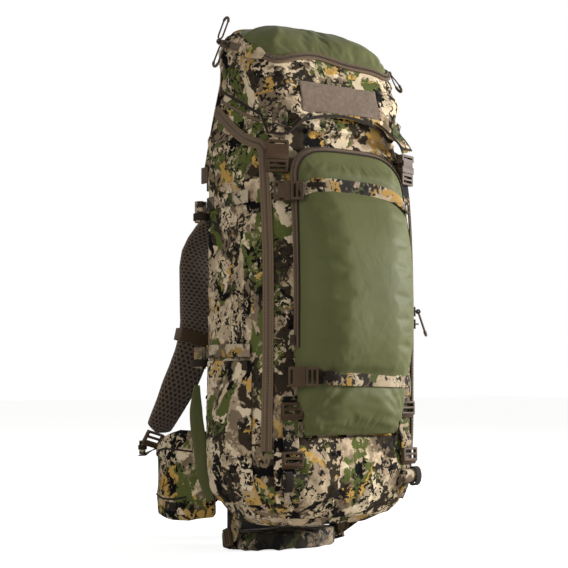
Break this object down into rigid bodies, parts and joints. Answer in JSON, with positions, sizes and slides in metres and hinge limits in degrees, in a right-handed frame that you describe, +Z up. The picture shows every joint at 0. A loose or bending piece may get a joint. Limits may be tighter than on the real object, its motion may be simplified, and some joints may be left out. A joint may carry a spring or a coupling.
{
  "type": "hunting backpack",
  "caption": "Tall camouflage frame backpack with a green stuffed front pocket, floating lid, compression straps, padded shoulder harness and hip belt.",
  "frame": {"origin": "on the base shelf's underside, 86 mm behind the bag's middle line", "axes": "+Z up along the bag, -Y towards the front pocket, +Y towards the wearer's back and harness, -X to the wearer's left"},
  "size_m": [0.3642, 0.4559, 0.8491],
  "materials": {
    "camo_cloth": "matte woven, camouflage",
    "green_cloth": "smooth woven with a slight sheen",
    "dark_cloth": "matte woven",
    "zip_tape": "matte woven tape with coil",
    "camo_webbing": "woven webbing",
    "spacer_mesh": "open hexagonal mesh",
    "hook_loop": "looped pile",
    "frame_metal": "satin anodised",
    "bolt_metal": "satin",
    "frame_plastic": "matte",
    "buckle_plastic": "moulded, fine grain",
    "zip_metal": "satin paint",
    "cord_pull": "moulded over cord"
  },
  "bodies": {
    "bag_and_frame": {"bag_front_panel": "camo_cloth", "bag_side_panel_left": "camo_cloth", "bag_side_panel_right": "camo_cloth", "bag_back_panel": "dark_cloth", "bag_base_panel": "camo_cloth", "bag_rim_hem": "dark_cloth", "front_pocket": "green_cloth", "lower_front_pocket": "camo_cloth", "side_pocket_left": "camo_cloth", "side_pocket_right": "camo_cloth", "side_wings": "green_cloth", "main_zips": "zip_tape", "pocket_zip": "zip_tape", "frame_stays": "frame_metal", "frame_crossbars": "frame_metal", "frame_bolts": "bolt_metal", "frame_sheet": "frame_plastic", "base_shelf": "camo_cloth", "back_pads": "spacer_mesh", "lid_hinge_bars": "buckle_plastic", "front_strap_upper": "camo_webbing", "front_strap_lower": "camo_webbing", "strap_sockets": "buckle_plastic", "ladder_locks": "buckle_plastic", "lower_straps": "camo_webbing", "bottom_straps": "camo_webbing", "webbing_rolls": "camo_webbing", "side_straps": "camo_webbing", "harness_tails": "camo_webbing", "load_lifters": "camo_webbing", "lid_buckle_plugs": "buckle_plastic"},
    "lid": {"lid_body": "camo_cloth", "lid_top_panel": "green_cloth", "lid_zip": "zip_tape", "lid_patch": "hook_loop", "lid_front_straps": "camo_webbing", "lid_buckle_sockets": "buckle_plastic", "lid_rear_straps": "camo_webbing"},
    "lid_left_slider": {"lid_slider_left": "zip_metal"},
    "lid_rear_slider": {"lid_slider_rear": "zip_metal"},
    "lid_right_slider": {"lid_slider_right": "zip_metal"},
    "lid_left_pull": {"lid_pull_left": "cord_pull"},
    "lid_rear_pull": {"lid_pull_rear": "cord_pull"},
    "lid_right_pull": {"lid_pull_right": "cord_pull"},
    "main_upper_slider": {"main_slider_upper": "zip_metal"},
    "main_lower_slider": {"main_slider_lower": "zip_metal"},
    "main_upper_pull": {"main_pull_upper": "cord_pull"},
    "pocket_zip_slider": {"pocket_slider": "zip_metal"},
    "upper_plug": {"upper_strap_plug": "buckle_plastic"},
    "lower_plug": {"lower_strap_plug": "buckle_plastic"},
    "harness": {"harness_yoke": "dark_cloth", "shoulder_pad_left": "spacer_mesh", "shoulder_pad_right": "spacer_mesh", "shoulder_hardware": "buckle_plastic"},
    "sternum": {"sternum_strap": "buckle_plastic"},
    "belt_left": {"belt_wing_left": "camo_cloth", "belt_tail_left": "buckle_plastic"},
    "belt_right": {"belt_wing_right": "camo_cloth", "belt_tail_right": "buckle_plastic"},
    "haul": {"haul_loop": "camo_webbing"}
  },
  "joints": [
    {"name": "lid_hinge", "type": "hinge", "parent": "bag_and_frame", "child": "lid", "pos_m": [0, 0.02, 0.609], "axis": [-1, 0, 0], "range_deg": [0, 95]},
    {"name": "lid_left_slider_slide", "type": "slide", "parent": "lid", "child": "lid_left_slider", "axis": [0, -0.9468, -0.3219], "range_m": [0, 0.04]},
    {"name": "lid_rear_slider_slide", "type": "slide", "parent": "lid", "child": "lid_rear_slider", "axis": [0, 0.9468, 0.3219], "range_m": [0, 0.005]},
    {"name": "lid_right_slider_slide", "type": "slide", "parent": "lid", "child": "lid_right_slider", "axis": [0, -0.9468, -0.3219], "range_m": [-0.02, 0.02]},
    {"name": "lid_left_pull_swing", "type": "hinge", "parent": "lid_left_slider", "child": "lid_left_pull", "pos_m": [-0.14455, -0.04808, 0.80424], "axis": [0, 0.9468, 0.3219], "range_deg": [-24, 100]},
    {"name": "lid_rear_pull_swing", "type": "hinge", "parent": "lid_rear_slider", "child": "lid_rear_pull", "pos_m": [-0.14378, -0.03227, 0.80954], "axis": [0, 0.9468, 0.3219], "range_deg": [-75, 24]},
    {"name": "lid_right_pull_swing", "type": "hinge", "parent": "lid_right_slider", "child": "lid_right_pull", "pos_m": [0.14464, -0.09121, 0.78926], "axis": [0, 0.9468, 0.3219], "range_deg": [-75, 16]},
    {"name": "main_upper_slider_slide", "type": "slide", "parent": "bag_and_frame", "child": "main_upper_slider", "axis": [0, 0, 1], "range_m": [0, 0.06]},
    {"name": "main_lower_slider_slide", "type": "slide", "parent": "bag_and_frame", "child": "main_lower_slider", "axis": [0, 0, -1], "range_m": [0, 0.05]},
    {"name": "main_upper_pull_swing", "type": "hinge", "parent": "main_upper_slider", "child": "main_upper_pull", "pos_m": [0.14763, -0.17503, 0.38], "axis": [0.7082, 0.706, 0], "range_deg": [-80, 12]},
    {"name": "pocket_slider_slide", "type": "slide", "parent": "bag_and_frame", "child": "pocket_zip_slider", "axis": [0, 0, 1], "range_m": [0, 0.12]},
    {"name": "upper_buckle_slide", "type": "slide", "parent": "bag_and_frame", "child": "upper_plug", "axis": [0.8, -0.6, 0], "range_m": [0, 0.022]},
    {"name": "lower_buckle_slide", "type": "slide", "parent": "bag_and_frame", "child": "lower_plug", "axis": [0.8, -0.6, 0], "range_m": [0, 0.022]},
    {"name": "harness_hinge", "type": "hinge", "parent": "bag_and_frame", "child": "harness", "pos_m": [0, 0.0185, 0.592], "axis": [1, 0, 0], "range_deg": [0, 18], "deforming": ["harness_tails", "load_lifters"]},
    {"name": "sternum_slide", "type": "slide", "parent": "harness", "child": "sternum", "axis": [0, 0.1984, 0.9801], "range_m": [-0.015, 0.015]},
    {"name": "belt_left_hinge", "type": "hinge", "parent": "bag_and_frame", "child": "belt_left", "pos_m": [-0.11, 0.026, 0.1], "axis": [0, 0, 1], "range_deg": [-20, 4]},
    {"name": "belt_right_hinge", "type": "hinge", "parent": "bag_and_frame", "child": "belt_right", "pos_m": [0.11, 0.026, 0.1], "axis": [0, 0, 1], "range_deg": [-4, 20]},
    {"name": "haul_loop_swing", "type": "hinge", "parent": "bag_and_frame", "child": "haul", "pos_m": [0, 0.0185, 0.652], "axis": [1, 0, 0], "range_deg": [0, 150]}
  ]
}
